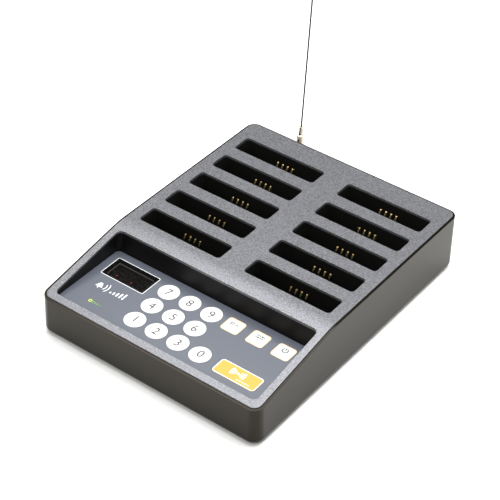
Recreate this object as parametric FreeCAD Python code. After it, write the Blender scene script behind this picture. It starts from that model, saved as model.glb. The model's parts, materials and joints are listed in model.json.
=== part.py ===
"""Table-top paging transmitter with a ten-slot charging cradle, a sunken keypad and a rear whip aerial.

Millimetres, +Z up, front towards -Y, +X to the right of a person at the keypad. The drawing frame has
Y = 0 on the front edge of the cover plate and Z = 0 on the table. save() moves every piece so that the
origin of the finished model is under the middle of its bounding box.
"""
import FreeCAD, Part
import math
import os

from FreeCAD import Vector

# ---- driving dimensions -------------------------------------------------------------------------
# cover plate and case outline
PLATE_HALF_W = 77.4
PLATE_DEPTH = 202.0
PLATE_T = 1.5
PLATE_CORNER_R = 4.8
LIP = 1.5                       # black case edge left showing round the plate
LIP_DROP = 0.6                  # the plate stands this much proud of that edge
TOP_Z = 39.5                    # flat rear part of the top
FRONT_Z = 27.5                  # top of the front edge
BEND_Y = 68.8                   # where the flat top turns down towards the front
BEND_R = 55.0
WALL = 2.2
WALL_DRAFT = 0.6                # the front and side walls spread this much towards the seam
DECK_T = 2.2                    # case deck under the plate
BASE_Z = 1.5                    # underside of the case, above the rubber feet
SPLIT_Z = 4.6                   # seam between the upper case and the base, low on the walls
POST_Z = 10.0                   # joint between the base's screw posts and the upper case's
BASE_FLOOR_T = 2.5
BASE_TAPER = 0.4                # how far the base draws in towards the table
BASE_EDGE_R = 2.2
SEAM_CHAMFER = 0.2

# the ten slots: two columns of five
SLOT_COLUMN_X = 39.5
SLOT_L = 61.2
SLOT_W = 14.5
SLOT_PITCH = 23.66
SLOT_REAR_Y = 186.4             # rear edge of the row furthest back
SLOT_ROWS = 5
SLOT_CORNER_R = 2.4
SLOT_STEP = 0.3                 # the deck opening is this much inside the plate opening
INSERT_HALF_W = 72.4            # the deck strip of one row's insert
INSERT_REAR = 6.0
INSERT_FRONT = SLOT_PITCH - SLOT_W - INSERT_REAR
INSERT_GAP = 0.15
CUP_WALL = 1.6
CUP_FLOOR_Z = 8.0
CRADLE_Z = 6.0

# spring contacts on the rear wall of each slot
CONTACT_PITCH = 3.8
CONTACT_COUNT = 4
CONTACT_W = 1.2
CONTACT_T = 0.25
CONTACT_WINDOW_W = 1.9

# keypad
PANEL_Z = 24.1                  # top face of the keypad overlay
OVERLAY_T = 0.5
PANEL_FLOOR_T = 2.0
RECESS_HALF_W = 73.0
RECESS_FRONT_Y = 4.6
RECESS_REAR_TOP_Y = 63.3
RECESS_REAR_FOOT_Y = 61.0
RECESS_CORNER_R = 3.4
TUB_WALL = 1.8
KEY_R = 6.6
KEY_X0, KEY_PITCH_X = -24.0, 15.88
KEY_Y0, KEY_PITCH_Y = 18.6, 15.4
FUNCTION_X0, FUNCTION_PITCH_X, FUNCTION_Y = 23.7, 17.85, 49.35
FUNCTION_W, FUNCTION_D = 12.0, 11.5
SEND_X, SEND_W, SEND_D = 50.5, 29.3, 11.9
KEY_GAP = 0.25
KEY_PROUD = 0.2
KEY_TRAVEL = 0.45
DOME_RISE = 0.48
DOME_R = 3.0
FLANGE = 0.6
DISPLAY_X, DISPLAY_Y = -51.4, 47.15
DISPLAY_W, DISPLAY_D = 31.7, 16.7

# boards
KEYPAD_BOARD_TOP = 19.5
KEYPAD_BOARD_T = 1.2
MAIN_BOARD_Z = 8.0
MAIN_BOARD_T = 1.6

# aerial on the rear wall
AERIAL_X = -43.9
AERIAL_Y = 208.1
JACK_Z = 27.0
JACK_R = 3.1
HINGE_Z = 38.6
FORK_R = 2.35
FORK_SLOT = 1.6
EAR_R = 3.2
PIN_R = 0.6
EYE_OF_WHIP_R = 2.2
WHIP_LEAN_DEG = 3.2             # the whip stands leaning slightly to the rear
WHIP_L = 171.0                  # hinge pin to tip, a quarter wave in the 433 MHz band
WHIP_R = 0.55
NECK_R = 1.25
NECK_L = 5.2
NUT_FLATS = 8.6
RUNNING_GAP = 0.05

# fasteners, feet, inlet
SCREW_R = 1.3
SCREW_HEAD_R = 2.6
SCREW_HEAD_T = 2.0
POST_R = 3.5
CASE_POSTS = [(-71.0, 8.2), (71.0, 8.2), (-60.0, 70.0), (60.0, 70.0), (-71.0, 195.0), (71.0, 195.0)]
FOOT_R = 6.0
FOOT_SEAT_DEPTH = 0.8
FOOT_PLACES = [(-63.0, 16.0), (63.0, 16.0), (-63.0, 186.0), (63.0, 186.0)]
INLET_X, INLET_Z = 45.0, 21.0
INLET_R = 3.0

# ---- derived --------------------------------------------------------------------------------------
CASE_HALF_W = PLATE_HALF_W + LIP
CASE_FRONT = -LIP
CASE_REAR = PLATE_DEPTH + LIP
CASE_CORNER_R = PLATE_CORNER_R + LIP
PANEL_FLOOR_TOP = PANEL_Z - OVERLAY_T
PANEL_FLOOR_BOTTOM = PANEL_FLOOR_TOP - PANEL_FLOOR_T
DECK_BOTTOM = TOP_Z - PLATE_T - DECK_T
SCREW_SEAT_Z = POST_Z - 4.0
LEAN = math.radians(WHIP_LEAN_DEG)
MODEL_REAR = AERIAL_Y + WHIP_L * math.sin(LEAN) + WHIP_R * math.cos(LEAN)
CENTRE_Y = (CASE_FRONT - WALL_DRAFT + MODEL_REAR) / 2
TOP_OUTLINE = (-CASE_HALF_W, CASE_HALF_W, CASE_FRONT, CASE_REAR, CASE_CORNER_R)
SEAM_OUTLINE = (-CASE_HALF_W - WALL_DRAFT, CASE_HALF_W + WALL_DRAFT, CASE_FRONT - WALL_DRAFT, CASE_REAR,
                CASE_CORNER_R + WALL_DRAFT)

PARTS = {}


def save(node, shape):
    """Move a finished piece into the model frame and write it as one STEP file."""
    shape = shape.copy()
    shape.translate(Vector(0, -CENTRE_Y, 0))
    shape.exportStep("parts/" + node + ".step")
    PARTS[node] = shape


def box(x0, x1, y0, y1, z0, z1):
    return Part.makeBox(x1 - x0, y1 - y0, z1 - z0, Vector(x0, y0, z0))


def rod(x, y, z0, z1, r):
    return Part.makeCylinder(r, z1 - z0, Vector(x, y, z0))


def rounded(x0, x1, y0, y1, r):
    """Closed outline of a rectangle with rounded corners, in the plane Z = 0."""
    def arc(cx, cy, start):
        at = [math.radians(start + step) for step in (0, 45, 90)]
        return Part.Arc(*[Vector(cx + r * math.cos(a), cy + r * math.sin(a), 0) for a in at]).toShape()

    corners = [arc(x1 - r, y0 + r, -90), arc(x1 - r, y1 - r, 0),
               arc(x0 + r, y1 - r, 90), arc(x0 + r, y0 + r, 180)]
    edges = []
    for here, after in zip(corners, corners[1:] + corners[:1]):
        edges += [here, Part.makeLine(here.Vertexes[-1].Point, after.Vertexes[0].Point)]
    return Part.Wire(edges)


def prism(x0, x1, y0, y1, r, z0, z1):
    face = Part.Face(rounded(x0, x1, y0, y1, r))
    face.translate(Vector(0, 0, z0))
    return face.extrude(Vector(0, 0, z1 - z0))


def tapered(lower, lower_z, upper, upper_z):
    """Solid between two rounded outlines, each given as (x0, x1, y0, y1, r)."""
    ends = []
    for outline, z in ((lower, lower_z), (upper, upper_z)):
        wire = rounded(*outline)
        wire.translate(Vector(0, 0, z))
        ends.append(wire)
    return Part.makeLoft(ends, True, True)


def under_top(drop):
    """Everything below the top surface of the object, lowered by drop."""
    slope = math.atan((TOP_Z - FRONT_Z) / BEND_Y)
    top, reach = TOP_Z - drop, BEND_R * math.tan(slope / 2)

    def point(y, z):
        return Vector(-100, y, z)

    def on_bend(angle):
        return point(BEND_Y + reach - BEND_R * math.sin(angle), top - BEND_R * (1 - math.cos(angle)))

    before, after = PLATE_DEPTH + 10, -10
    bend = Part.Arc(on_bend(0), on_bend(slope / 2), on_bend(slope)).toShape()
    corners = [on_bend(slope), point(after, top - (BEND_Y - after) * math.tan(slope)), point(after, -5),
               point(before, -5), point(before, top), on_bend(0)]
    sides = [Part.makeLine(a, b) for a, b in zip(corners, corners[1:])]
    return Part.Face(Part.Wire([bend] + sides)).extrude(Vector(200, 0, 0))


def join(shapes):
    first, rest = shapes[0], shapes[1:]
    return first.fuse(rest).removeSplitter() if rest else first


def slot_rear(row):
    return SLOT_REAR_Y - row * SLOT_PITCH


def slot_outline(side, row, inset):
    """Rounded outline of one slot, drawn in by inset on every side."""
    x = side * SLOT_COLUMN_X
    rear = slot_rear(row)
    return (x - SLOT_L / 2 + inset, x + SLOT_L / 2 - inset, rear - SLOT_W + inset, rear - inset,
            max(SLOT_CORNER_R - inset, 0.5))


ALL_SLOTS = [(side, row) for side in (-1, 1) for row in range(SLOT_ROWS)]


def recess(grow, z0, z1):
    """The keypad recess as a solid, its rear wall leaning back as it rises."""
    slope = (RECESS_REAR_TOP_Y - RECESS_REAR_FOOT_Y) / (TOP_Z - PANEL_FLOOR_TOP)

    def outline(z):
        rear = RECESS_REAR_FOOT_Y + slope * (z - PANEL_FLOOR_TOP)
        return (-RECESS_HALF_W - grow, RECESS_HALF_W + grow, RECESS_FRONT_Y - grow, rear + grow,
                RECESS_CORNER_R + grow)

    return tapered(outline(z0), z0, outline(z1), z1)


# ---- keys: where they are and their outlines --------------------------------------------------------
DIGITS = {"1": (0, 0), "2": (1, 0), "3": (2, 0), "0": (3, 0), "4": (0, 1), "5": (1, 1), "6": (2, 1),
          "7": (0, 2), "8": (1, 2), "9": (2, 2)}
KEYS = {}
for digit, (column, line) in sorted(DIGITS.items()):
    KEYS["key_" + digit] = (KEY_X0 + column * KEY_PITCH_X, KEY_Y0 + line * KEY_PITCH_Y, None)
for place, name in enumerate(("key_mode", "key_setup", "key_power")):
    KEYS[name] = (FUNCTION_X0 + place * FUNCTION_PITCH_X, FUNCTION_Y, (FUNCTION_W, FUNCTION_D, 2.0))
KEYS["key_send"] = (SEND_X, KEY_Y0, (SEND_W, SEND_D, 2.2))


def key_solid(name, grow, z0, z1):
    """The outline of a key, made larger by grow, between two heights."""
    x, y, block = KEYS[name]
    if block is None:
        return rod(x, y, z0, z1, KEY_R + grow)
    w, d, r = block
    return prism(x - w / 2 - grow, x + w / 2 + grow, y - d / 2 - grow, y + d / 2 + grow, r + grow, z0, z1)


def build_keys():
    """Moulded keys: a cap in the panel, a retaining flange under it and a short actuator above its dome."""
    flange_top = PANEL_FLOOR_BOTTOM - 0.1
    flange_bottom = flange_top - 0.7
    actuator_bottom = KEYPAD_BOARD_TOP + DOME_RISE + KEY_TRAVEL + 0.05
    for name, (x, y, _) in KEYS.items():
        cap = key_solid(name, 0, flange_bottom, PANEL_Z + KEY_PROUD)
        flange = key_solid(name, FLANGE, flange_bottom, flange_top)
        actuator = rod(x, y, actuator_bottom, flange_bottom, 1.6)
        save(name, join([cap, flange, actuator]))


def build_key_domes():
    """Snap domes on the keypad board, one under each key."""
    sphere_r = (DOME_R ** 2 + DOME_RISE ** 2) / (2 * DOME_RISE)
    domes = []
    for x, y, _ in KEYS.values():
        ball = Part.makeSphere(sphere_r, Vector(x, y, KEYPAD_BOARD_TOP + DOME_RISE - sphere_r))
        domes.append(ball.common(rod(x, y, KEYPAD_BOARD_TOP, KEYPAD_BOARD_TOP + 1, DOME_R)))
    save("key_domes", Part.makeCompound(domes))


def display_opening(inset, z0, z1):
    half_w, half_d = DISPLAY_W / 2 - inset, DISPLAY_D / 2 - inset
    return prism(DISPLAY_X - half_w, DISPLAY_X + half_w, DISPLAY_Y - half_d, DISPLAY_Y + half_d, 0.6, z0, z1)


def build_keypad_panel():
    """Printed overlay stuck on the recess floor, with a clear window over the two-digit display."""
    gap = 0.15
    overlay = recess(-gap, PANEL_FLOOR_TOP, PANEL_FLOOR_TOP + 3).common(
        box(-90, 90, 0, 80, PANEL_FLOOR_TOP, PANEL_Z))
    holes = [key_solid(name, KEY_GAP, 0, 50) for name in KEYS]
    save("keypad_overlay", overlay.cut(holes + [display_opening(0, 0, 50)]))
    save("display_window", display_opening(0.1, PANEL_FLOOR_TOP, PANEL_Z))
    save("display_module", display_opening(1.9, KEYPAD_BOARD_TOP, PANEL_FLOOR_TOP - 0.3))


KEYPAD_BOSSES = [(-62.0, 18.0), (-36.0, 28.0), (24.0, 34.0), (62.0, 34.0)]
MAIN_BOARD_BOSSES = [(-56.0, 12.0), (56.0, 12.0), (-56.0, 54.0), (56.0, 54.0)]
BOARD_SCREW_R = 0.9
BOARD_SCREW_HEAD_R = 1.9


def build_face_plate():
    """Silver textured cover: one plate, flat at the rear and sloping as a rim round the keypad."""
    outline = prism(-PLATE_HALF_W, PLATE_HALF_W, 0, PLATE_DEPTH, PLATE_CORNER_R, 0, 60)
    plate = outline.common(under_top(0)).cut(under_top(PLATE_T))
    openings = [prism(*slot_outline(side, row, 0), 0, 60) for side, row in ALL_SLOTS]
    save("face_plate", plate.cut(openings + [recess(0, PANEL_FLOOR_TOP, 60)]))


def build_upper_case():
    """Black moulded frame: outer walls and a deck left open for the keypad tub and the slot inserts."""
    x0, x1, y0, y1, r = SEAM_OUTLINE
    groove = (x0 + SEAM_CHAMFER, x1 - SEAM_CHAMFER, y0 + SEAM_CHAMFER, y1 - SEAM_CHAMFER, r)
    walls_z = SPLIT_Z + SEAM_CHAMFER
    shell = join([tapered(groove, SPLIT_Z, SEAM_OUTLINE, walls_z),
                  tapered(SEAM_OUTLINE, walls_z, TOP_OUTLINE, TOP_Z)]).common(under_top(LIP_DROP))
    inner = prism(-CASE_HALF_W + WALL, CASE_HALF_W - WALL, CASE_FRONT + WALL, CASE_REAR - WALL,
                  CASE_CORNER_R - WALL, 0, 60)
    room = inner.common(under_top(PLATE_T + DECK_T))
    seat = prism(-PLATE_HALF_W, PLATE_HALF_W, 0, PLATE_DEPTH, PLATE_CORNER_R, 0, 60).cut(under_top(PLATE_T))
    open_front = slot_rear(SLOT_ROWS - 1) - SLOT_W - INSERT_FRONT
    insert_opening = box(-INSERT_HALF_W - INSERT_GAP, INSERT_HALF_W + INSERT_GAP, open_front - INSERT_GAP,
                         SLOT_REAR_Y + INSERT_REAR + INSERT_GAP, DECK_BOTTOM, 60)
    frame = shell.cut([room, seat, recess(TUB_WALL + INSERT_GAP, PANEL_FLOOR_BOTTOM - 1, 60), insert_opening])
    bosses = []
    for x, y in CASE_POSTS:
        side = math.copysign(1, x)
        top = DECK_BOTTOM if y > BEND_Y else PANEL_FLOOR_BOTTOM
        bosses.append(rod(x, y, POST_Z, top, POST_R))
        near, far = sorted((x, side * (CASE_HALF_W - WALL + 0.5)))
        bosses.append(box(near, far, y - 0.8, y + 0.8, POST_Z + 2, top))
    cuts = [rod(x, y, 0, POST_Z + 7, SCREW_R) for x, y in CASE_POSTS]
    cuts.append(along_y(AERIAL_X, JACK_Z, CASE_REAR - 5, CASE_REAR + 5, JACK_R + 0.1))
    cuts.append(along_y(INLET_X, INLET_Z, CASE_REAR - 5, CASE_REAR + 5, INLET_R + 1.4))
    save("upper_case", join([frame] + bosses).cut(cuts))


def build_keypad_tub():
    """Gloss black tray that holds the overlay, the keys and, on bosses underneath, the keypad board."""
    tub = recess(TUB_WALL, PANEL_FLOOR_BOTTOM, 60).common(under_top(PLATE_T))
    bosses = [rod(x, y, KEYPAD_BOARD_TOP, PANEL_FLOOR_BOTTOM, 2.4) for x, y in KEYPAD_BOSSES]
    cuts = [recess(0, PANEL_FLOOR_TOP, 60), display_opening(1.6, PANEL_FLOOR_BOTTOM - 1, 50)]
    cuts += [key_solid(name, KEY_GAP, PANEL_FLOOR_BOTTOM - 1, 50) for name in KEYS]
    cuts += [rod(x, y, 0, PANEL_FLOOR_BOTTOM + 1, BOARD_SCREW_R) for x, y in KEYPAD_BOSSES]
    save("keypad_tub", join([tub] + bosses).cut(cuts))


def lies_at(edge, z):
    return abs(edge.BoundBox.ZMin - z) < 1e-6 and abs(edge.BoundBox.ZMax - z) < 1e-6


def along_y(x, z, y0, y1, r):
    return Part.makeCylinder(r, y1 - y0, Vector(x, y0, z), Vector(0, 1, 0))


def build_lower_case():
    """Black moulded base: drawn in towards the table, with screw posts, cradle pads and foot seats."""
    x0, x1, y0, y1, r = SEAM_OUTLINE
    low = (x0 + BASE_TAPER, x1 - BASE_TAPER, y0 + BASE_TAPER, y1 - BASE_TAPER, r)
    body = tapered(low, BASE_Z, SEAM_OUTLINE, SPLIT_Z)
    rim = [e for e in body.Edges if lies_at(e, BASE_Z)]
    body = body.makeFillet(BASE_EDGE_R, rim)
    x0, x1, y0, y1, r = TOP_OUTLINE
    room = prism(x0 + WALL + 0.7, x1 - WALL - 0.7, y0 + WALL + 0.7, y1 - WALL - 0.7, r - WALL,
                 BASE_Z + BASE_FLOOR_T, 60)
    tongue_outer = prism(x0 + WALL + 0.1, x1 - WALL - 0.1, y0 + WALL + 0.1, y1 - WALL - 0.1, r - WALL,
                         SPLIT_Z - 1, SPLIT_Z + 1.5)
    tray = join([body, tongue_outer]).cut(room)
    posts = [rod(x, y, BASE_Z + 1, POST_Z, POST_R) for x, y in CASE_POSTS]
    posts += [rod(x, y, BASE_Z + 1, MAIN_BOARD_Z, 2.4) for x, y in MAIN_BOARD_BOSSES]
    pads = [box(side * x - 3, side * x + 3, y - 3, y + 3, BASE_Z + 1, CRADLE_Z)
            for side in (-1, 1) for x in (16, 66) for y in (83, 131, 178)]
    cuts = [rod(x, y, 0, POST_Z + 1, SCREW_R) for x, y in CASE_POSTS]
    cuts += [rod(x, y, 0, SCREW_SEAT_Z, SCREW_HEAD_R) for x, y in CASE_POSTS]
    cuts += [rod(x, y, BASE_Z + BASE_FLOOR_T, MAIN_BOARD_Z + 1, BOARD_SCREW_R) for x, y in MAIN_BOARD_BOSSES]
    cuts += [rod(x, y, 0, BASE_Z + FOOT_SEAT_DEPTH, FOOT_R) for x, y in FOOT_PLACES]
    save("lower_case", join([tray] + posts + pads).cut(cuts))
    save("feet", Part.makeCompound([foot(x, y) for x, y in FOOT_PLACES]))


def foot(x, y):
    """Rubber disc set into the base, with a rounded lower edge."""
    disc = rod(x, y, 0, BASE_Z + FOOT_SEAT_DEPTH, FOOT_R)
    return disc.makeFillet(0.5, [e for e in disc.Edges if e.BoundBox.ZMax < 0.01])


CROSS_RECESS = ((1.4, 0.35), (0.35, 1.4))       # half length and half width of the two bars


def build_screws():
    case_screws = []
    for x, y in CASE_POSTS:
        head_z = SCREW_SEAT_Z - SCREW_HEAD_T
        head = rod(x, y, head_z, SCREW_SEAT_Z, SCREW_HEAD_R - 0.2)
        cross = [box(x - a, x + a, y - b, y + b, head_z - 1, head_z + 1) for a, b in CROSS_RECESS]
        case_screws.append(join([head, rod(x, y, SCREW_SEAT_Z - 1, POST_Z + 6, SCREW_R)]).cut(cross))
    save("case_screws", Part.makeCompound(case_screws))
    board_screws = []
    for x, y in KEYPAD_BOSSES:
        seat = KEYPAD_BOARD_TOP - KEYPAD_BOARD_T
        board_screws.append(join([rod(x, y, seat - 1.2, seat, BOARD_SCREW_HEAD_R),
                                  rod(x, y, seat - 0.5, seat + 4, BOARD_SCREW_R)]))
    for x, y in MAIN_BOARD_BOSSES:
        seat = MAIN_BOARD_Z + MAIN_BOARD_T
        board_screws.append(join([rod(x, y, seat, seat + 1.2, BOARD_SCREW_HEAD_R),
                                  rod(x, y, seat - 4, seat + 0.5, BOARD_SCREW_R)]))
    save("board_screws", Part.makeCompound(board_screws))


def contact_xs(side):
    first = side * SLOT_COLUMN_X - CONTACT_PITCH * (CONTACT_COUNT - 1) / 2
    return [first + CONTACT_PITCH * n for n in range(CONTACT_COUNT)]


WINDOW_Z0, WINDOW_Z1 = 22.4, 32.2
EYE_Z = 20.2                    # rolled eye about which each contact spring turns
EYE_BACK = 3.9                  # from the slot's rear wall to the eye
EYE_R = 0.5
BOARD_BACK = 4.6


def build_slot_inserts():
    """One moulded insert per row: a deck strip under the cover, two open-topped cups and a base plate."""
    for row in range(SLOT_ROWS):
        rear = slot_rear(row)
        front, wall = rear - SLOT_W, rear - SLOT_STEP
        solids = [box(-INSERT_HALF_W, INSERT_HALF_W, front - INSERT_FRONT, rear + INSERT_REAR, DECK_BOTTOM,
                      DECK_BOTTOM + DECK_T)]
        cuts = []
        for side in (-1, 1):
            solids.append(prism(*slot_outline(side, row, SLOT_STEP - CUP_WALL), CRADLE_Z, DECK_BOTTOM + 1))
            cuts.append(prism(*slot_outline(side, row, SLOT_STEP), CUP_FLOOR_Z, 60))
            for cx in contact_xs(side):
                cuts.append(box(cx - CONTACT_WINDOW_W / 2, cx + CONTACT_WINDOW_W / 2, wall - 1,
                                wall + CUP_WALL + 1, WINDOW_Z0, WINDOW_Z1))
        foot_half = SLOT_COLUMN_X + SLOT_L / 2 - SLOT_STEP + CUP_WALL
        solids.append(box(-foot_half, foot_half, front, rear + INSERT_REAR - 0.4, CRADLE_Z, CUP_FLOOR_Z))
        cuts += [rod(px, py, 0, CUP_FLOOR_Z + 1, POST_R + 0.4) for px, py in CASE_POSTS]
        save("slot_insert_%d" % (row + 1), join(solids).cut(cuts))


def contact_spring(cx, wall):
    """One gold strip: rolled eye at the board, up and out of the window in a bow, free end back inside."""
    eye = Vector(cx, wall + EYE_BACK, EYE_Z)
    path = [(EYE_BACK - EYE_R + CONTACT_T, EYE_Z), (3.2, 23.9), (2.6, 24.7), (0.3, 25.9), (-1.4, 27.6),
            (-1.6, 28.2), (-1.3, 28.8), (0.0, 30.7), (0.8, 31.2)]
    half = CONTACT_W / 2
    outer, inner = [], []
    for index, (y, z) in enumerate(path):
        before = path[max(index - 1, 0)]
        after = path[min(index + 1, len(path) - 1)]
        dy, dz = after[0] - before[0], after[1] - before[1]
        size = math.hypot(dy, dz)
        outer.append((y, z))
        inner.append((y + dz / size * CONTACT_T, z - dy / size * CONTACT_T))
    points = [Vector(cx - half, wall + y, z) for y, z in outer + inner[::-1]]
    strip = Part.Face(Part.makePolygon(points + points[:1])).extrude(Vector(CONTACT_W, 0, 0))
    roll = Part.makeCylinder(EYE_R, CONTACT_W, eye - Vector(half, 0, 0), Vector(1, 0, 0))
    return join([strip, roll])


def build_contacts():
    """Four spring contacts per slot, one board per row behind the rear walls, and the bus that feeds them."""
    for side, row in ALL_SLOTS:
        wall = slot_rear(row) - SLOT_STEP
        springs = [contact_spring(cx, wall) for cx in contact_xs(side)]
        save("contacts_%s%d" % ("left_" if side < 0 else "right_", row + 1), Part.makeCompound(springs))
    tabs = []
    strip_z0, strip_z1 = MAIN_BOARD_Z + MAIN_BOARD_T, MAIN_BOARD_Z + MAIN_BOARD_T + 0.8
    for row in range(SLOT_ROWS):
        front = slot_rear(row) - SLOT_STEP + BOARD_BACK
        board = box(-60, 60, front, front + 1.2, CUP_FLOOR_Z, 34.0)
        pads = [box(cx - 0.5, cx + 0.5, front - 0.18, front, EYE_Z - 0.8, EYE_Z + 0.8)
                for side in (-1, 1) for cx in contact_xs(side)]
        board = board.cut(box(-5, 5, front - 1, front + 2, 0, strip_z1))
        save("contact_board_%d" % (row + 1), join([board] + pads))
        tabs.append(box(-3, 3, front - 0.6, front, strip_z1 - 0.2, strip_z1 + 8))
    rear = slot_rear(0) - SLOT_STEP + BOARD_BACK + 1.2
    save("charge_bus", join([box(-4.5, 4.5, 52, rear, strip_z0, strip_z1)] + tabs))


def build_boards():
    keypad = box(-70, 70, 12.4, 59.0, KEYPAD_BOARD_TOP - KEYPAD_BOARD_T, KEYPAD_BOARD_TOP)
    save("keypad_board", keypad.cut([rod(x, y, 0, 40, BOARD_SCREW_R) for x, y in KEYPAD_BOSSES]))
    top = MAIN_BOARD_Z + MAIN_BOARD_T
    board = box(-63, 63, 5, 60, MAIN_BOARD_Z, top)
    chip = box(-6, 6, 24, 36, top, top + 1.6)
    holes = [rod(x, y, 0, 40, BOARD_SCREW_R) for x, y in MAIN_BOARD_BOSSES]
    save("main_board", join([board, chip]).cut(holes))
    save("charge_converter", prism(38, 50, 30, 42, 2.0, top, top + 5))
    save("radio_module", box(AERIAL_X - 9, AERIAL_X + 9, 38, 58, top, top + 3.0))
    can = rod(22, 46, top, top + 7.0, 6.0)
    save("buzzer", can.cut(rod(22, 46, top + 6, top + 8, 1.2)))
    under = KEYPAD_BOARD_TOP - KEYPAD_BOARD_T
    plugs = [box(-30, -12, 9.5, 14.5, top, top + 2.4), box(-30, -12, 13.0, 18.0, under - 2.4, under)]
    flat = box(-29, -13, 13.3, 14.2, top + 2.2, under - 2.2)
    save("ribbon_cable", join(plugs + [flat]))


def tube(points, bend, r):
    """Round cable along straight runs joined by tangent arcs of one radius, in a plane of constant X."""
    edges = []
    here = points[0]
    for index in range(1, len(points) - 1):
        a, b, c = points[index - 1], points[index], points[index + 1]
        into = (b - a).normalize()
        out = (c - b).normalize()
        turn = into.getAngle(out)
        reach = bend * math.tan(turn / 2)
        start, end = b - into * reach, b + out * reach
        inward = (out - into).normalize()
        centre = b + inward * (bend / math.cos(turn / 2))
        edges += [Part.makeLine(here, start), Part.Arc(start, centre - inward * bend, end).toShape()]
        here = end
    edges.append(Part.makeLine(here, points[-1]))
    path = Part.Wire(edges)
    ring = Part.Wire(Part.makeCircle(r, points[0], points[1] - points[0]))
    return path.makePipeShell([ring], True, False)


def build_leads():
    """Coaxial lead to the radio module and the pair of supply leads, laid under the cradles."""
    top = MAIN_BOARD_Z + MAIN_BOARD_T
    x = AERIAL_X
    route = [Vector(x, 196.5, JACK_Z - JACK_R), Vector(x, 196.5, 5.0), Vector(x, 73.0, 5.0),
             Vector(x, 65.5, top + 1.5), Vector(x, 58.0, top + 1.5)]
    save("coax_lead", tube(route, 4.0, 0.65))
    pair = []
    for offset in (-1.6, 1.6):
        x = INLET_X + offset
        route = [Vector(x, 196.5, INLET_Z - 4.6), Vector(x, 196.5, 5.0), Vector(x, 73.0, 5.0),
                 Vector(x, 65.5, top + 0.8), Vector(x, 56.0, top + 0.8)]
        pair.append(tube(route, 4.0, 0.7))
    save("power_leads", Part.makeCompound(pair))


def across_hinge(r, half):
    """Cylinder about the axis of the whip's hinge pin."""
    return Part.makeCylinder(r, 2 * half, Vector(AERIAL_X - half, AERIAL_Y, HINGE_Z), Vector(1, 0, 0))


def build_aerial():
    """Bulkhead jack, swivel elbow with a forked stem, hinge pin and whip.

    A step across the front of the fork stops the whip just past upright, so it folds only to the rear.
    """
    jack = join([along_y(AERIAL_X, JACK_Z, CASE_REAR - WALL - 1.8, CASE_REAR - WALL, 5.0),
                 along_y(AERIAL_X, JACK_Z, 194.6, CASE_REAR - WALL, JACK_R),
                 along_y(AERIAL_X, JACK_Z, CASE_REAR - WALL, AERIAL_Y + 1.0, JACK_R)])
    save("antenna_jack", jack)
    corner_r = NUT_FLATS / 2 / math.cos(math.pi / 6)
    corners = [Vector(AERIAL_X + corner_r * math.cos(a), CASE_REAR, JACK_Z + corner_r * math.sin(a))
               for a in (math.radians(60 * n) for n in range(6))]
    nut = Part.Face(Part.makePolygon(corners + corners[:1])).extrude(Vector(0, 1.8, 0))
    save("jack_nut", nut.cut(along_y(AERIAL_X, JACK_Z, CASE_REAR - 1, CASE_REAR + 3, JACK_R)))

    barrel = along_y(AERIAL_X, JACK_Z, CASE_REAR + 2.0, AERIAL_Y + 3.1, 4.4)
    stem = rod(AERIAL_X, AERIAL_Y, JACK_Z, HINGE_Z + EAR_R + 1, FORK_R)
    ears = across_hinge(EAR_R, 6)
    stem = join([stem.common(box(-90, 90, 150, 250, 0, HINGE_Z)), stem.common(ears)])
    half = FORK_SLOT / 2
    slot = box(AERIAL_X - half, AERIAL_X + half, AERIAL_Y - 8, AERIAL_Y + 8, HINGE_Z - 3.2, HINGE_Z + 9)
    stop = box(AERIAL_X - half, AERIAL_X + half, AERIAL_Y - 8, AERIAL_Y - NECK_R - 2 * RUNNING_GAP, HINGE_Z,
               HINGE_Z + 9).cut(across_hinge(EYE_OF_WHIP_R + 2 * RUNNING_GAP, 6))
    bore = along_y(AERIAL_X, JACK_Z, CASE_REAR, AERIAL_Y + 1.2, JACK_R + RUNNING_GAP)
    pin = across_hinge(PIN_R, FORK_R - 0.3)
    save("antenna_swivel", join([barrel, stem]).cut([slot.cut(stop), bore, pin]))
    save("antenna_pin", pin)

    half -= RUNNING_GAP
    neck_z = HINGE_Z + EAR_R + 0.2
    eye = across_hinge(EYE_OF_WHIP_R, half)
    blade = box(AERIAL_X - half, AERIAL_X + half, AERIAL_Y - NECK_R, AERIAL_Y + NECK_R, HINGE_Z, neck_z + 0.4)
    neck = rod(AERIAL_X, AERIAL_Y, neck_z, neck_z + NECK_L, NECK_R)
    grooves = [box(AERIAL_X + x - 0.6, AERIAL_X + x + 0.6, AERIAL_Y - 0.3, AERIAL_Y + 0.3, neck_z + 0.8,
                   neck_z + NECK_L - 0.8) for x in (-1.4, 1.4)]
    wire = rod(AERIAL_X, AERIAL_Y, neck_z + NECK_L - 1, HINGE_Z + WHIP_L, WHIP_R)
    wire = wire.makeFillet(0.4, [e for e in wire.Edges if lies_at(e, HINGE_Z + WHIP_L)])
    whip = join([eye, blade, neck, wire]).cut(grooves + [across_hinge(PIN_R + RUNNING_GAP, 6)])
    whip.rotate(Vector(AERIAL_X, AERIAL_Y, HINGE_Z), Vector(1, 0, 0), -WHIP_LEAN_DEG)
    save("antenna_whip", whip)


def build_inlet():
    """Barrel socket for the supply plug, its mouth flush with the rear wall."""
    body = box(INLET_X - 4.5, INLET_X + 4.5, 192.8, CASE_REAR - WALL, INLET_Z - 4.6, INLET_Z + 4.6)
    nose = along_y(INLET_X, INLET_Z, CASE_REAR - WALL, CASE_REAR, INLET_R + 1.4)
    hole = along_y(INLET_X, INLET_Z, 194.0, CASE_REAR + 1, INLET_R)
    pin = along_y(INLET_X, INLET_Z, 193.0, CASE_REAR - 1.5, 1.0)
    save("dc_inlet", join([join([body, nose]).cut(hole), pin]))


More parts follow.
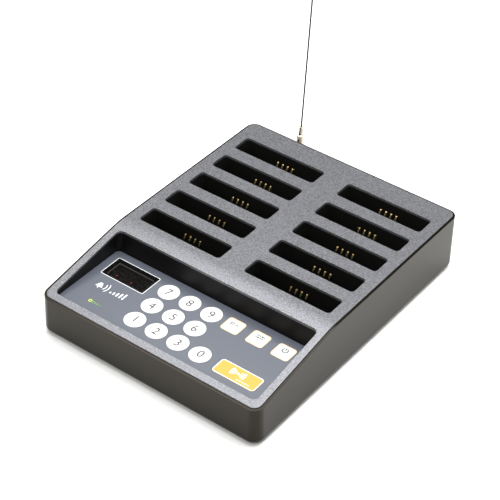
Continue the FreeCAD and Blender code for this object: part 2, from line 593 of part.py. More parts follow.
os.makedirs("parts", exist_ok=True)
build_face_plate()
build_upper_case()
build_keypad_tub()
build_lower_case()
build_screws()
build_slot_inserts()
build_contacts()
build_keypad_panel()
build_keys()
build_key_domes()
build_boards()
build_leads()
build_aerial()
build_inlet()

whole = Part.makeCompound(list(PARTS.values())).BoundBox
print("nodes", len(PARTS))
print("origin shift %.4f" % CENTRE_Y)
print("box x %.3f %.3f  y %.3f %.3f  z %.3f %.3f" % (whole.XMin, whole.XMax, whole.YMin, whole.YMax,
                                                   whole.ZMin, whole.ZMax))
for node, shape in PARTS.items():
    if not shape.isValid() or min(solid.Volume for solid in shape.Solids) <= 0:
        print("check", node, shape.isValid(), len(shape.Solids))
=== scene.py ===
"""Finished look of a table-top paging transmitter with ten charging slots, a keypad and a whip aerial.

Sizes are written in millimetres and multiplied by MM, because the scene is in metres.
"""

import json
import math

import bmesh
import bpy
from mathutils import Matrix, Vector

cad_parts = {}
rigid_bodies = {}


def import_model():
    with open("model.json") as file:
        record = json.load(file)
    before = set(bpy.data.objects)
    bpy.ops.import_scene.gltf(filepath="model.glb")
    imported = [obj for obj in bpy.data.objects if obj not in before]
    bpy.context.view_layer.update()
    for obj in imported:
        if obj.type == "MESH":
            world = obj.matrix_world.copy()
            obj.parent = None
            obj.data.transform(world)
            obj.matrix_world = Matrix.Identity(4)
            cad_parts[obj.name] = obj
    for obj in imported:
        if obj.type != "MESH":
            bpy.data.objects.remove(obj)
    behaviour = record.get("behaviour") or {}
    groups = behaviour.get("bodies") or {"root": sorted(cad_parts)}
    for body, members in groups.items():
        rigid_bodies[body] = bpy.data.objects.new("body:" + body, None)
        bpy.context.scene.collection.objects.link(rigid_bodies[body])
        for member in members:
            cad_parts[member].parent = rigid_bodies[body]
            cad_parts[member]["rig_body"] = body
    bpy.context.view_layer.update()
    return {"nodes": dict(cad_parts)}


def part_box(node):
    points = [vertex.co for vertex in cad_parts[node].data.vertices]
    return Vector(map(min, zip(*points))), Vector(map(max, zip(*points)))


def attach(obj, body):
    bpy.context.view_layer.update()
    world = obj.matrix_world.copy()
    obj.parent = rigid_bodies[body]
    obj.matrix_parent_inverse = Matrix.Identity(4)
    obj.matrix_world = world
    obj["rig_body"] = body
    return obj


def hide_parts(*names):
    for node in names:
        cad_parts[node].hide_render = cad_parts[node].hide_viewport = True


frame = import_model()
nodes = frame["nodes"]
MM = 0.001

# ---- camera and studio ------------------------------------------------------------------------
# A seller's view from the keypad's right, on a white table. One large soft light hangs over and
# behind the object, a second lights only the table, a third fills from the front without a
# reflection of its own, and the room round them is a dim white.
VIEW_AZIMUTH, VIEW_ELEVATION, VIEW_ROLL = 36.07, 39.02, 1.59
VIEW_DISTANCE = 1001.0
VIEW_AIM = Vector((-13.6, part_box("face_plate")[0].y / MM + 114.68, 20.0))
LENS = 118.2

azimuth, elevation, roll = (math.radians(angle) for angle in (VIEW_AZIMUTH, VIEW_ELEVATION, VIEW_ROLL))
level = Vector((math.cos(azimuth), math.sin(azimuth), 0))
back = Vector((math.sin(azimuth) * math.cos(elevation), -math.cos(azimuth) * math.cos(elevation),
               math.sin(elevation)))
upright = back.cross(level)
right = level * math.cos(roll) + upright * math.sin(roll)
up = upright * math.cos(roll) - level * math.sin(roll)
camera = bpy.data.objects.new("camera", bpy.data.cameras.new("camera"))
camera.data.lens = LENS
camera.data.sensor_width = 36.0
camera.data.clip_end = 20.0
camera.matrix_world = Matrix.Translation((VIEW_AIM + back * VIEW_DISTANCE) * MM) @ Matrix(
    (right, up, back)).transposed().to_4x4()
bpy.context.scene.collection.objects.link(camera)
bpy.context.scene.camera = camera
bpy.context.scene.view_settings.view_transform = "Standard"

LIGHTS = {                  # place, aim, width and height in mm, and power
    "softbox": ((-50, 190, 800), (-50, 190, 0), (1100, 750), 13.5),
    "table light": ((-50, 190, 810), (-50, 190, 0), (1100, 900), 4.0),
    "front fill": ((350, -900, 900), (0, 0, 0), (700, 700), 8.0),
}
for name, (place, target, (wide, high), power) in LIGHTS.items():
    lamp = bpy.data.objects.new(name, bpy.data.lights.new(name, "AREA"))
    lamp.data.shape = "RECTANGLE"
    lamp.data.size, lamp.data.size_y = wide * MM, high * MM
    lamp.data.energy = power
    lamp.location = Vector(place) * MM
    lamp.rotation_euler = (Vector(target) - Vector(place)).to_track_quat("-Z", "Y").to_euler()
    lamp.visible_glossy = name != "front fill"
    bpy.context.scene.collection.objects.link(lamp)


def linear(code):
    """A colour written as sRGB hex, as linear RGBA."""
    parts = [int(code[at:at + 2], 16) / 255 for at in (0, 2, 4)]
    return [c / 12.92 if c <= 0.04045 else ((c + 0.055) / 1.055) ** 2.4 for c in parts] + [1.0]


ROOM_LIGHT = 0.22
world = bpy.data.worlds.new("white room")
world.use_nodes = True
world.node_tree.nodes["Background"].inputs["Color"].default_value = linear("fffdfa")
world.node_tree.nodes["Background"].inputs["Strength"].default_value = ROOM_LIGHT
bpy.context.scene.world = world


def add(tree, kind, inputs=None, **settings):
    """Add one node: settings are its own properties, inputs are values or the sockets that feed it."""
    node = tree.nodes.new(kind)
    for name, value in settings.items():
        setattr(node, name, value)
    for name, value in (inputs or {}).items():
        if isinstance(value, bpy.types.NodeSocket):
            tree.links.new(value, node.inputs[name])
        else:
            node.inputs[name].default_value = value
    return node


def start_material(name, colour, roughness, metallic=0.0, **sockets):
    """A new material with its constants on the shader's own sockets, and its Object coordinates."""
    material = bpy.data.materials.new(name)
    material.use_nodes = True
    tree = material.node_tree
    shader = tree.nodes["Principled BSDF"]
    values = {"Base Color": linear(colour), "Roughness": roughness, "Metallic": metallic}
    values.update({key.replace("_", " "): value for key, value in sockets.items()})
    for socket, value in values.items():
        shader.inputs[socket].default_value = value
    return material, tree, shader, add(tree, "ShaderNodeTexCoord").outputs["Object"]


def grain(parts, grain_mm, colours, roughness, depth_mm, detail=2.0):
    """Fine moulded or sprayed grain, which varies colour and roughness and raises the surface."""
    material, tree, shader, place = parts
    noise = add(tree, "ShaderNodeTexNoise", {"Vector": place, "Scale": 1 / (grain_mm * MM),
                                             "Detail": detail, "Roughness": 0.55}).outputs["Fac"]
    ramp = add(tree, "ShaderNodeValToRGB", {"Fac": noise})
    for stop, colour, at in zip(ramp.color_ramp.elements, colours, (0.32, 0.68)):
        stop.color = linear(colour)
        stop.position = at
    gloss = add(tree, "ShaderNodeMapRange", {"Value": noise, "From Min": 0.3, "From Max": 0.7,
                                             "To Min": roughness[0], "To Max": roughness[1]})
    bump = add(tree, "ShaderNodeBump", {"Height": noise, "Distance": depth_mm * MM})
    for output, socket in ((ramp.outputs["Color"], "Base Color"), (gloss.outputs["Result"], "Roughness"),
                           (bump.outputs["Normal"], "Normal")):
        tree.links.new(output, shader.inputs[socket])
    return material


floor_material = grain(start_material("matt paper sweep", "f6f6f4", 0.9), 3.0, ("f5f5f3", "f8f8f6"),
                       (0.85, 0.95), 0.02)
bpy.ops.mesh.primitive_plane_add(size=8.0)
floor = bpy.context.object
floor.name = "floor"
floor.data.materials.append(floor_material)
lit_table = bpy.data.collections.new("lit table")
lit_table.objects.link(floor)
bpy.data.objects["table light"].light_linking.receiver_collection = lit_table

# ---- cover plate ------------------------------------------------------------------------------
# One ABS plate sprayed silver over a spark-eroded grain, let into the case on adhesive tape. The
# edges of its openings are rolled over, and they catch the light.
COVER_GRAIN = 0.75          # drawn coarser than the real 0.3 mm, so that it shows
COVER_EDGE = 0.22


def body_of(node):
    return nodes[node]["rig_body"]


def merged(node):
    """An editable copy of a CAD piece, its loose triangles joined and its flat faces made whole."""
    mesh = bmesh.new()
    mesh.from_mesh(nodes[node].data)
    bmesh.ops.remove_doubles(mesh, verts=mesh.verts, dist=1e-6)
    bmesh.ops.dissolve_limit(mesh, angle_limit=math.radians(0.3), verts=mesh.verts, edges=mesh.edges,
                             delimit={"NORMAL"})
    return mesh


def new_piece(name, mesh, body, *materials):
    """Finish a bmesh as an object that rides on a body, smooth but for its real corners."""
    data = bpy.data.meshes.new(name)
    mesh.to_mesh(data)
    mesh.free()
    piece = bpy.data.objects.new(name, data)
    bpy.context.scene.collection.objects.link(piece)
    for material in materials:
        data.materials.append(material)
    smooth(piece)
    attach(piece, body)
    return piece


def plain_mesh(piece):
    """Make what a piece's modifiers give its own mesh, and drop the modifiers."""
    bpy.context.view_layer.update()
    made = bpy.data.meshes.new_from_object(piece.evaluated_get(bpy.context.evaluated_depsgraph_get()))
    piece.modifiers.clear()
    piece.data = made
    return piece


def smooth(piece, corner=40.0):
    """Smooth shading that keeps flat faces flat beside their rolled edges."""
    piece.data.shade_smooth()
    piece.data.set_sharp_from_angle(angle=math.radians(corner))
    weigh = piece.modifiers.new("flat faces first", "WEIGHTED_NORMAL")
    weigh.keep_sharp = True
    plain_mesh(piece)


def paint(material, *names):
    for name in names:
        nodes[name].data.materials.clear()
        nodes[name].data.materials.append(material)


def is_outer_rim(edge):
    """Whether an edge lies between a top face and an outer wall, well above the case's seam."""
    top, side = sorted((face.normal for face in edge.link_faces), key=lambda normal: -normal.z)
    middle = (edge.verts[0].co + edge.verts[1].co) / 2
    outward = side.x * middle.x + side.y * middle.y
    return top.z > 0.8 and abs(side.z) < 0.3 and outward > 0 and middle.z > RIM_ABOVE * MM


def softened(node, edge_mm, material, name=None, segments=3, corner=30.0, rim_mm=0.0):
    """A copy of a CAD piece with its sharp edges rolled over, which stands for that piece.

    With rim_mm, its outer top edge is first rounded off by that much.
    """
    mesh = merged(node)
    if rim_mm:
        rim = [edge for edge in mesh.edges if edge.is_manifold and is_outer_rim(edge)]
        bmesh.ops.bevel(mesh, geom=rim, offset=rim_mm * MM, segments=4, profile=0.5, affect="EDGES",
                        clamp_overlap=True)
    sharp = [edge for edge in mesh.edges
             if edge.is_manifold and edge.calc_face_angle() > math.radians(corner)]
    bmesh.ops.bevel(mesh, geom=sharp, offset=edge_mm * MM, segments=segments, profile=0.5,
                    affect="EDGES", clamp_overlap=True)
    piece = new_piece(name or node + "_finished", mesh, body_of(node), material)
    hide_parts(node)
    paint(material, node)
    return piece


silver = grain(start_material("silver paint on spark-textured ABS", "6c6d71", 0.34, 0.42), COVER_GRAIN,
               ("525356", "87888d"), (0.28, 0.4), 0.05, detail=3.0)
softened("face_plate", COVER_EDGE, silver, "cover_plate")

# ---- case and base ----------------------------------------------------------------------------
# Two injection mouldings in black ABS with a fine satin grain: the upper case and, screwed on from
# below, the base.
CASE_GRAIN = 0.5
CASE_RIM = 1.15             # the upper case is rounded off this much round the cover plate
RIM_ABOVE = 15.0            # between the seam and the top of the walls
black_case = grain(start_material("satin moulded black ABS", "120e08", 0.2, Specular_IOR_Level=0.21,
                                 Specular_Tint=linear("fff4e2")), CASE_GRAIN,
                   ("100c06", "15110b"), (0.17, 0.23), 0.002)
softened("upper_case", 0.12, black_case, "case_shell", rim_mm=CASE_RIM)
softened("lower_case", 0.25, black_case, "case_base")

# ---- keypad tub -------------------------------------------------------------------------------
# A black ABS tray, polished, whose tall rear wall shades the keypad. It is welded into the case.
tub_black = grain(start_material("smooth moulded black ABS", "0a0909", 0.42, Specular_IOR_Level=0.25), 1.6,
                  ("090808", "0c0b0b"), (0.38, 0.46), 0.002)
softened("keypad_tub", 0.3, tub_black, "keypad_tray")

# ---- slot inserts -----------------------------------------------------------------------------
# Five black ABS mouldings, one for each row, each with two open cups that the pagers stand in.
insert_black = grain(start_material("plain moulded black ABS", "100f0e", 0.55), 0.8,
                     ("0f0e0d", "131210"), (0.5, 0.6), 0.004)
for row in range(1, 6):
    softened("slot_insert_%d" % row, 0.2, insert_black, "slot_cups_%d" % row)

# ---- circuit boards ---------------------------------------------------------------------------
# Glass-epoxy boards under green lacquer, with copper tracks showing faintly through it.
board_parts = start_material("green lacquered glass-epoxy board", "1d4a2c", 0.35)
board_material, board_tree, board_shader, board_place = board_parts
tracks = add(board_tree, "ShaderNodeTexBrick", {"Vector": board_place, "Scale": 1 / (4.0 * MM),
                                                "Color1": linear("1d4a2c"), "Color2": linear("21532f"),
                                                "Mortar": linear("3a7a45"), "Mortar Size": 0.04})
board_tree.links.new(tracks.outputs["Color"], board_shader.inputs["Base Color"])
board_bump = add(board_tree, "ShaderNodeBump", {"Height": tracks.outputs["Fac"], "Distance": 0.03 * MM})
board_tree.links.new(board_bump.outputs["Normal"], board_shader.inputs["Normal"])
paint(board_material, "keypad_board", "main_board", *["contact_board_%d" % row for row in range(1, 6)])

# ---- spring contacts --------------------------------------------------------------------------
# Four strips of gold-flashed bronze for each slot, bent up from a rolled eye, out through the
# window in a bow and back. A tree sweeps one strip along its bend and repeats it.
STRIP_BEND = 0.35
STRIP_WIDTH, STRIP_THICK = 1.0, 0.24
STRIP_ROUTE = [(3.64, 20.2), (3.2, 23.9), (2.6, 24.7), (0.3, 25.9), (-1.45, 27.8), (-1.4, 28.7),
               (0.0, 30.7), (0.75, 31.1)]       # back from the slot's rear wall, and height
EYE_BACK, EYE_HEIGHT, EYE_RADIUS = 3.9, 20.2, 0.48


def solids_of(node):
    """The lowest and highest corner of each separate solid in a CAD piece."""
    mesh = merged(node)
    left, found = set(mesh.verts), []
    while left:
        group, edge_of_group = set(), [left.pop()]
        while edge_of_group:
            vertex = edge_of_group.pop()
            group.add(vertex)
            for edge in vertex.link_edges:
                other = edge.other_vert(vertex)
                if other in left:
                    left.remove(other)
                    edge_of_group.append(other)
        found.append([Vector([pick(v.co[axis] for v in group) for axis in range(3)])
                      for pick in (min, max)])
    mesh.free()
    return sorted(found, key=lambda corners: tuple(corners[0]))


def new_tree(name, sockets):
    """An empty geometry tree with a geometry input, named inputs for its sizes and one output."""
    tree = bpy.data.node_groups.new(name, "GeometryNodeTree")
    tree.interface.new_socket("Geometry", in_out="OUTPUT", socket_type="NodeSocketGeometry")
    tree.interface.new_socket("Geometry", in_out="INPUT", socket_type="NodeSocketGeometry")
    for label, kind in sockets.items():
        tree.interface.new_socket(label, in_out="INPUT", socket_type="NodeSocket" + kind)
    return tree, add(tree, "NodeGroupInput").outputs


def end_tree(tree, geometry, material):
    """Close a tree: instances are made real and given their material."""
    real = add(tree, "GeometryNodeRealizeInstances", {"Geometry": geometry})
    coloured = add(tree, "GeometryNodeSetMaterial", {"Geometry": real.outputs[0], "Material": material})
    add(tree, "NodeGroupOutput", {"Geometry": coloured.outputs[0]})


def run_tree(piece, tree, values):
    """Run a tree on a piece with these input values, and keep the result as its mesh."""
    modifier = piece.modifiers.new(tree.name, "NODES")
    modifier.node_group = tree
    for item in tree.interface.items_tree:
        if item.in_out == "INPUT" and item.name in values:
            modifier[item.identifier] = values[item.name]
    return plain_mesh(piece)


def line_piece(name, points):
    """A mesh of edges only, through points in metres."""
    data = bpy.data.meshes.new(name)
    data.from_pydata(points, [(n, n + 1) for n in range(len(points) - 1)], [])
    piece = bpy.data.objects.new(name, data)
    bpy.context.scene.collection.objects.link(piece)
    return piece


contact_tree, given = new_tree("row of spring contacts", {
    "Width": "Float", "Thickness": "Float", "Bend Radius": "Float", "Eye Radius": "Float",
    "Eye Centre": "Vector", "Pitch": "Float", "Count": "Int", "Material": "Material"})
bend_line = add(contact_tree, "GeometryNodeMeshToCurve", {"Mesh": given["Geometry"]})
rounded_line = add(contact_tree, "GeometryNodeFilletCurve", {
    "Curve": bend_line.outputs[0], "Radius": given["Bend Radius"], "Count": 4, "Limit Radius": True},
    mode="POLY")
squared_line = add(contact_tree, "GeometryNodeSetCurveNormal", {
    "Curve": rounded_line.outputs[0], "Normal": (1, 0, 0)}, mode="FREE")
section = add(contact_tree, "GeometryNodeCurvePrimitiveQuadrilateral", {
    "Width": given["Width"], "Height": given["Thickness"]})
strip = add(contact_tree, "GeometryNodeCurveToMesh", {
    "Curve": squared_line.outputs[0], "Profile Curve": section.outputs[0], "Fill Caps": True})
eye = add(contact_tree, "GeometryNodeMeshCylinder", {
    "Vertices": 20, "Radius": given["Eye Radius"], "Depth": given["Width"]})
eye_placed = add(contact_tree, "GeometryNodeTransform", {
    "Geometry": eye.outputs[0], "Translation": given["Eye Centre"], "Rotation": (0, math.pi / 2, 0)})
one_contact = add(contact_tree, "GeometryNodeJoinGeometry")
for half in (strip.outputs[0], eye_placed.outputs[0]):
    contact_tree.links.new(half, one_contact.inputs[0])
step = add(contact_tree, "ShaderNodeCombineXYZ", {"X": given["Pitch"]})
places = add(contact_tree, "GeometryNodeMeshLine", {"Count": given["Count"], "Offset": step.outputs[0]})
copies = add(contact_tree, "GeometryNodeInstanceOnPoints", {
    "Points": places.outputs[0], "Instance": one_contact.outputs[0]})
end_tree(contact_tree, copies.outputs[0], given["Material"])

gold = grain(start_material("gold flash on rolled bronze", "e6c583", 0.34, 1.0), 0.4,
             ("dfbb76", "efd29a"), (0.28, 0.4), 0.002)
for side in ("left", "right"):
    for row in range(1, 6):
        node = "contacts_%s_%d" % (side, row)
        strips = solids_of(node)
        middles = [(low.x + high.x) / 2 for low, high in strips]
        wall = strips[0][1].y - (EYE_BACK + 0.5) * MM
        route = [(middles[0], wall + along * MM, height * MM) for along, height in STRIP_ROUTE]
        contacts = run_tree(line_piece("springs_%s_%d" % (side, row), route), contact_tree, {
            "Width": STRIP_WIDTH * MM, "Thickness": STRIP_THICK * MM, "Bend Radius": STRIP_BEND * MM,
            "Eye Radius": EYE_RADIUS * MM,
            "Eye Centre": (middles[0], wall + EYE_BACK * MM, EYE_HEIGHT * MM),
            "Pitch": middles[1] - middles[0], "Count": len(strips), "Material": gold})
        smooth(contacts)
        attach(contacts, body_of(node))
        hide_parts(node)
        paint(gold, node)

# ---- charging bus -----------------------------------------------------------------------------
# A flexible circuit of amber polyimide that runs under the cups and feeds the contact boards.
amber = grain(start_material("amber polyimide film", "a8641c", 0.3), 1.2, ("9c5a18", "b06c22"),
              (0.25, 0.35), 0.01)
paint(amber, "charge_bus")

# ---- keypad overlay ---------------------------------------------------------------------------
# Polycarbonate film printed grey on its underside and stuck on the tub's floor. It is cut close
# round each key.
CUT_CLEARANCE, WINDOW_CLEARANCE = 0.07, 0.05
WINDOW_CORNER = 0.5


def circle(x, y, r, count=64):
    return [(x + r * math.cos(turn), y + r * math.sin(turn))
            for turn in (2 * math.pi * n / count for n in range(count))]


def rounded(x0, x1, y0, y1, r, steps=8):
    """Outline of a rectangle with rounded corners."""
    centres = [(x1 - r, y0 + r, -90), (x1 - r, y1 - r, 0), (x0 + r, y1 - r, 90), (x0 + r, y0 + r, 180)]
    return [(cx + r * math.cos(math.radians(start + 90 * n / steps)),
             cy + r * math.sin(math.radians(start + 90 * n / steps)))
            for cx, cy, start in centres for n in range(steps + 1)]


def cut_sheet(name, outlines, low, high):
    """A closed flat piece between two heights, from outlines in mm. One inside another is a hole."""
    curve = bpy.data.curves.new(name, "CURVE")
    curve.dimensions = "2D"
    curve.fill_mode = "BOTH"
    curve.extrude = (high - low) / 2
    for outline in outlines:
        spline = curve.splines.new("POLY")
        spline.points.add(len(outline) - 1)
        for point, (x, y) in zip(spline.points, outline):
            point.co = (x, y, 0, 1)
        spline.use_cyclic_u = True
    lift = Matrix.Translation((0, 0, (low + high) / 2))
    return closed_mesh(curve, Matrix.Diagonal((MM, MM, MM, 1)) @ lift)


def closed_mesh(curve, place):
    """The solid that a flat curve or a text gives, moved to its place."""
    flat = bpy.data.objects.new("flat", curve)
    bpy.context.scene.collection.objects.link(flat)
    bpy.context.view_layer.update()
    data = bpy.data.meshes.new_from_object(flat.evaluated_get(bpy.context.evaluated_depsgraph_get()))
    bpy.data.objects.remove(flat)
    mesh = bmesh.new()
    mesh.from_mesh(data)
    bmesh.ops.remove_doubles(mesh, verts=mesh.verts, dist=1e-4)
    mesh.transform(place)
    bmesh.ops.recalc_face_normals(mesh, faces=mesh.faces)
    return mesh


def in_mm(corners):
    low, high = corners
    return [(low.x / MM, high.x / MM), (low.y / MM, high.y / MM), (low.z / MM, high.z / MM)]


ROUND_KEYS = ["key_%d" % digit for digit in range(10)]
BLOCK_KEYS = ["key_mode", "key_setup", "key_power", "key_send"]
KEY_FLANGE = 0.6            # the hidden flange stands out this far under each key
BLOCK_CORNER = 2.1


def key_cap(node):
    """Centre and half sizes of a key's visible cap, in mm."""
    (x0, x1), (y0, y1), _ = in_mm(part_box(node))
    return (x0 + x1) / 2, (y0 + y1) / 2, (x1 - x0) / 2 - KEY_FLANGE, (y1 - y0) / 2 - KEY_FLANGE


def cap_outline(node, grow):
    x, y, half_w, half_d = key_cap(node)
    if node in ROUND_KEYS:
        return circle(x, y, half_w + grow)
    return rounded(x - half_w - grow, x + half_w + grow, y - half_d - grow, y + half_d + grow,
                   BLOCK_CORNER + grow)


(film_x0, film_x1), (film_y0, film_y1), (film_z0, film_z1) = in_mm(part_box("keypad_overlay"))
(window_x0, window_x1), (window_y0, window_y1), _ = in_mm(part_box("display_window"))
FILM_CORNER = 2.6
film_cuts = [cap_outline(node, CUT_CLEARANCE) for node in ROUND_KEYS + BLOCK_KEYS]
film_cuts.append(rounded(window_x0 - WINDOW_CLEARANCE, window_x1 + WINDOW_CLEARANCE,
                         window_y0 - WINDOW_CLEARANCE, window_y1 + WINDOW_CLEARANCE, WINDOW_CORNER))
film = grain(start_material("grey printed polycarbonate film", "585d67", 0.36), 0.6,
             ("565b65", "5a5f69"), (0.28, 0.36), 0.003)
overlay_mesh = cut_sheet("overlay", [rounded(film_x0, film_x1, film_y0, film_y1, FILM_CORNER)] + film_cuts,
                         film_z0, film_z1)
overlay = new_piece("keypad_film", overlay_mesh, body_of("keypad_overlay"), film)
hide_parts("keypad_overlay")
paint(film, "keypad_overlay")

# ---- prints on the overlay ---------------------------------------------------------------------
# White and green ink: a line round the display, a plain bell sign with sound waves and, below it,
# a small sign for low power use.
INK = 0.02
ink_white = grain(start_material("white screen ink", "f2f3f4", 0.5), 0.5, ("eff0f1", "f6f7f8"),
                  (0.45, 0.55), 0.001)
ink_black = grain(start_material("black screen ink", "060606", 0.5, Specular_IOR_Level=0.1), 0.5,
                  ("050505", "080808"), (0.35, 0.45), 0.001)
ink_green = grain(start_material("green screen ink", "6fae3c", 0.5), 0.5, ("68a838", "78b844"),
                  (0.45, 0.55), 0.001)
ink_lime = grain(start_material("lime screen ink", "b9cc3a", 0.5), 0.5, ("b2c636", "c2d444"), (0.45, 0.55),
                 0.001)


def band(x, y, r, width, start, end, steps=16):
    """Outline of a stroke along an arc, with square ends, between two angles in degrees."""
    turns = [math.radians(start + (end - start) * n / steps) for n in range(steps + 1)]
    outer = [(x + (r + width / 2) * math.cos(a), y + (r + width / 2) * math.sin(a)) for a in turns]
    inner = [(x + (r - width / 2) * math.cos(a), y + (r - width / 2) * math.sin(a)) for a in turns]
    return outer + inner[::-1]


def bar(x0, y0, x1, y1, width):
    """Outline of a straight stroke with square ends."""
    size = math.hypot(x1 - x0, y1 - y0)
    dx, dy = (y1 - y0) / size * width / 2, (x0 - x1) / size * width / 2
    return [(x0 + dx, y0 + dy), (x1 + dx, y1 + dy), (x1 - dx, y1 - dy), (x0 - dx, y0 - dy)]


def printed(name, outlines, surface, material, node):
    """Ink of its real outline lying on a surface at this height, printed on a CAD piece."""
    mesh = cut_sheet(name, outlines, surface, surface + INK)
    piece = new_piece(name, mesh, body_of(node), material)
    return piece


LINE, LINE_GAP = 0.4, 0.1
frame_line = [rounded(window_x0 - grow, window_x1 + grow, window_y0 - grow, window_y1 + grow,
                      WINDOW_CORNER + grow) for grow in (LINE + LINE_GAP, LINE_GAP)]
printed("display_line", frame_line, film_z1, ink_white, "keypad_overlay")

BELL_LEFT, BELL_DOWN = 7.2, 9.6                   # from the window's left and front edges
bell_x, bell_y = window_x0 + BELL_LEFT, window_y0 - BELL_DOWN
half_bell = [(1.65, 0.3), (1.45, 1.35), (0.95, 2.15), (0.4, 2.5)]
BELL_FOOT, CLAPPER_R = (2.5, -1.3), 0.5
WAVE_R, WAVE_PITCH, WAVE_WIDTH, WAVE_HALF_TURN = 4.3, 2.0, 0.55, 34
BARS_AT, BARS_PITCH, BARS_STEP, BARS_WIDTH = 9.2, 2.3, 0.95, 1.0
bell = [(bell_x - x, bell_y + y) for x, y in half_bell[::-1] + [BELL_FOOT]]
bell += [(bell_x + x, bell_y + y) for x, y in [BELL_FOOT] + half_bell]
sign = [bell, circle(bell_x, bell_y - 2.1, CLAPPER_R, 20)]
for ring in range(2):
    sign.append(band(bell_x, bell_y + 0.4, WAVE_R + WAVE_PITCH * ring, WAVE_WIDTH, -WAVE_HALF_TURN,
                     WAVE_HALF_TURN))
for step in range(5):
    x = bell_x + BARS_AT + BARS_PITCH * step
    sign.append(bar(x, bell_y - 2.0, x, bell_y - 0.6 + BARS_STEP * step, BARS_WIDTH))
printed("bell_sign", sign, film_z1, ink_white, "keypad_overlay")

GREEN_LEFT, GREEN_DOWN = 11.9, 23.4
green_x, green_y = window_x0 + GREEN_LEFT, window_y0 - GREEN_DOWN
printed("low_power_drop", [circle(green_x, green_y, 1.25, 32), circle(green_x, green_y, 0.55, 24)], film_z1,
        ink_lime, "keypad_overlay")
printed("low_power_bars", [bar(green_x + 2.2 + 1.5 * n, green_y - 0.9 + 0.1 * n, green_x + 2.2 + 1.5 * n,
                               green_y + 0.9 - 0.25 * n, 0.6) for n in range(5)], film_z1, ink_green,
        "keypad_overlay")

# ---- display ----------------------------------------------------------------------------------
# A coated clear window over a two-digit module. The module is a grey housing with a black rim,
# open at the top, round a dark face with unlit bars and two red points.
BORDER = 0.9                # black line printed round the window's edge
HOUSING_WALL = 0.5
FACE_DROP = 1.3
DIGIT_H, DIGIT_W, BAR_W = 9.6, 5.2, 0.95
DIGIT_PITCH, DIGITS_LEFT = 11.2, 1.0
POINTS_AT, POINT_R = ((7.6, 5.0), (18.6, 5.2)), 0.5         # from the window's left and front edges
glass, glass_tree, glass_shader, glass_place = start_material("coated clear polycarbonate", "0c0b0a", 0.06,
                                                              Alpha=0.2, Specular_IOR_Level=0.3)
glass_smears = add(glass_tree, "ShaderNodeTexNoise", {"Vector": glass_place, "Scale": 1 / (8 * MM)})
glass_gloss = add(glass_tree, "ShaderNodeMapRange", {"Value": glass_smears.outputs["Fac"],
                                                     "To Min": 0.02, "To Max": 0.07})
glass_tree.links.new(glass_gloss.outputs["Result"], glass_shader.inputs["Roughness"])
window_mesh = cut_sheet("window", [rounded(window_x0, window_x1, window_y0, window_y1, WINDOW_CORNER)],
                        film_z0, film_z1)
window = new_piece("display_glass", window_mesh, body_of("display_window"), glass)
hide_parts("display_window")
paint(glass, "display_window")

border = [rounded(window_x0 + inset, window_x1 - inset, window_y0 + inset, window_y1 - inset,
                  WINDOW_CORNER)
          for inset in (0.02, BORDER)]
printed("display_border", border, film_z1, ink_black, "display_window")

(module_x0, module_x1), (module_y0, module_y1), (module_z0, module_z1) = in_mm(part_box("display_module"))
housing_grey = grain(start_material("grey moulded polycarbonate", "9a9998", 0.45), 0.8,
                     ("969594", "9e9d9c"), (0.4, 0.5), 0.003)
face_black = grain(start_material("dark filter face", "0a0706", 0.4, Specular_IOR_Level=0.1), 0.8,
                   ("090605", "0c0807"), (0.25, 0.35), 0.002)
bar_dark = grain(start_material("unlit red diffuser", "140b07", 0.4, Specular_IOR_Level=0.1), 0.5,
                 ("120a06", "170c08"), (0.3, 0.4), 0.002)
point_red = grain(start_material("faintly lit red point", "7a1a18", 0.35, Emission_Color=linear("ff5a5a"),
                                 Emission_Strength=0.45), 0.4, ("541010", "641614"), (0.3, 0.4), 0.002)
housing_mesh = cut_sheet("housing", [
    rounded(module_x0, module_x1, module_y0, module_y1, 0.5),
    rounded(module_x0 + HOUSING_WALL, module_x1 - HOUSING_WALL, module_y0 + HOUSING_WALL,
            module_y1 - HOUSING_WALL, 0.3)], module_z0, module_z1)
for surface in housing_mesh.faces:
    surface.material_index = int(surface.normal.z > 0.5)        # the rim's top is printed black
housing = new_piece("display_housing", housing_mesh, body_of("display_module"), housing_grey, ink_black)
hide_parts("display_module")
paint(housing_grey, "display_module")
face_z = module_z1 - FACE_DROP
face_mesh = cut_sheet("face", [rounded(
    module_x0 + HOUSING_WALL - 0.1, module_x1 - HOUSING_WALL + 0.1, module_y0 + HOUSING_WALL - 0.1,
    module_y1 - HOUSING_WALL + 0.1, 0.3)], module_z0 + 0.2, face_z)
face = new_piece("display_face", face_mesh, body_of("display_module"), face_black)
digit_bars = []
points = [circle(window_x0 + right_by, window_y0 + back_by, POINT_R, 20) for right_by, back_by in POINTS_AT]
for place in (-1, 1):
    cx = (module_x0 + module_x1) / 2 + place * DIGIT_PITCH / 2 - DIGITS_LEFT
    cy = (module_y0 + module_y1) / 2
    half_w, half_h, inset = DIGIT_W / 2, DIGIT_H / 2, BAR_W * 0.62
    for height in (-half_h, 0, half_h):
        digit_bars.append(bar(cx - half_w + inset, cy + height, cx + half_w - inset, cy + height, BAR_W))
    for across in (-half_w, half_w):
        for low, high in ((-half_h, 0), (0, half_h)):
            digit_bars.append(bar(cx + across, cy + low + inset, cx + across, cy + high - inset, BAR_W))
printed("display_bars", digit_bars, face_z, bar_dark, "display_module")
printed("display_points", points, face_z, point_red, "display_module")

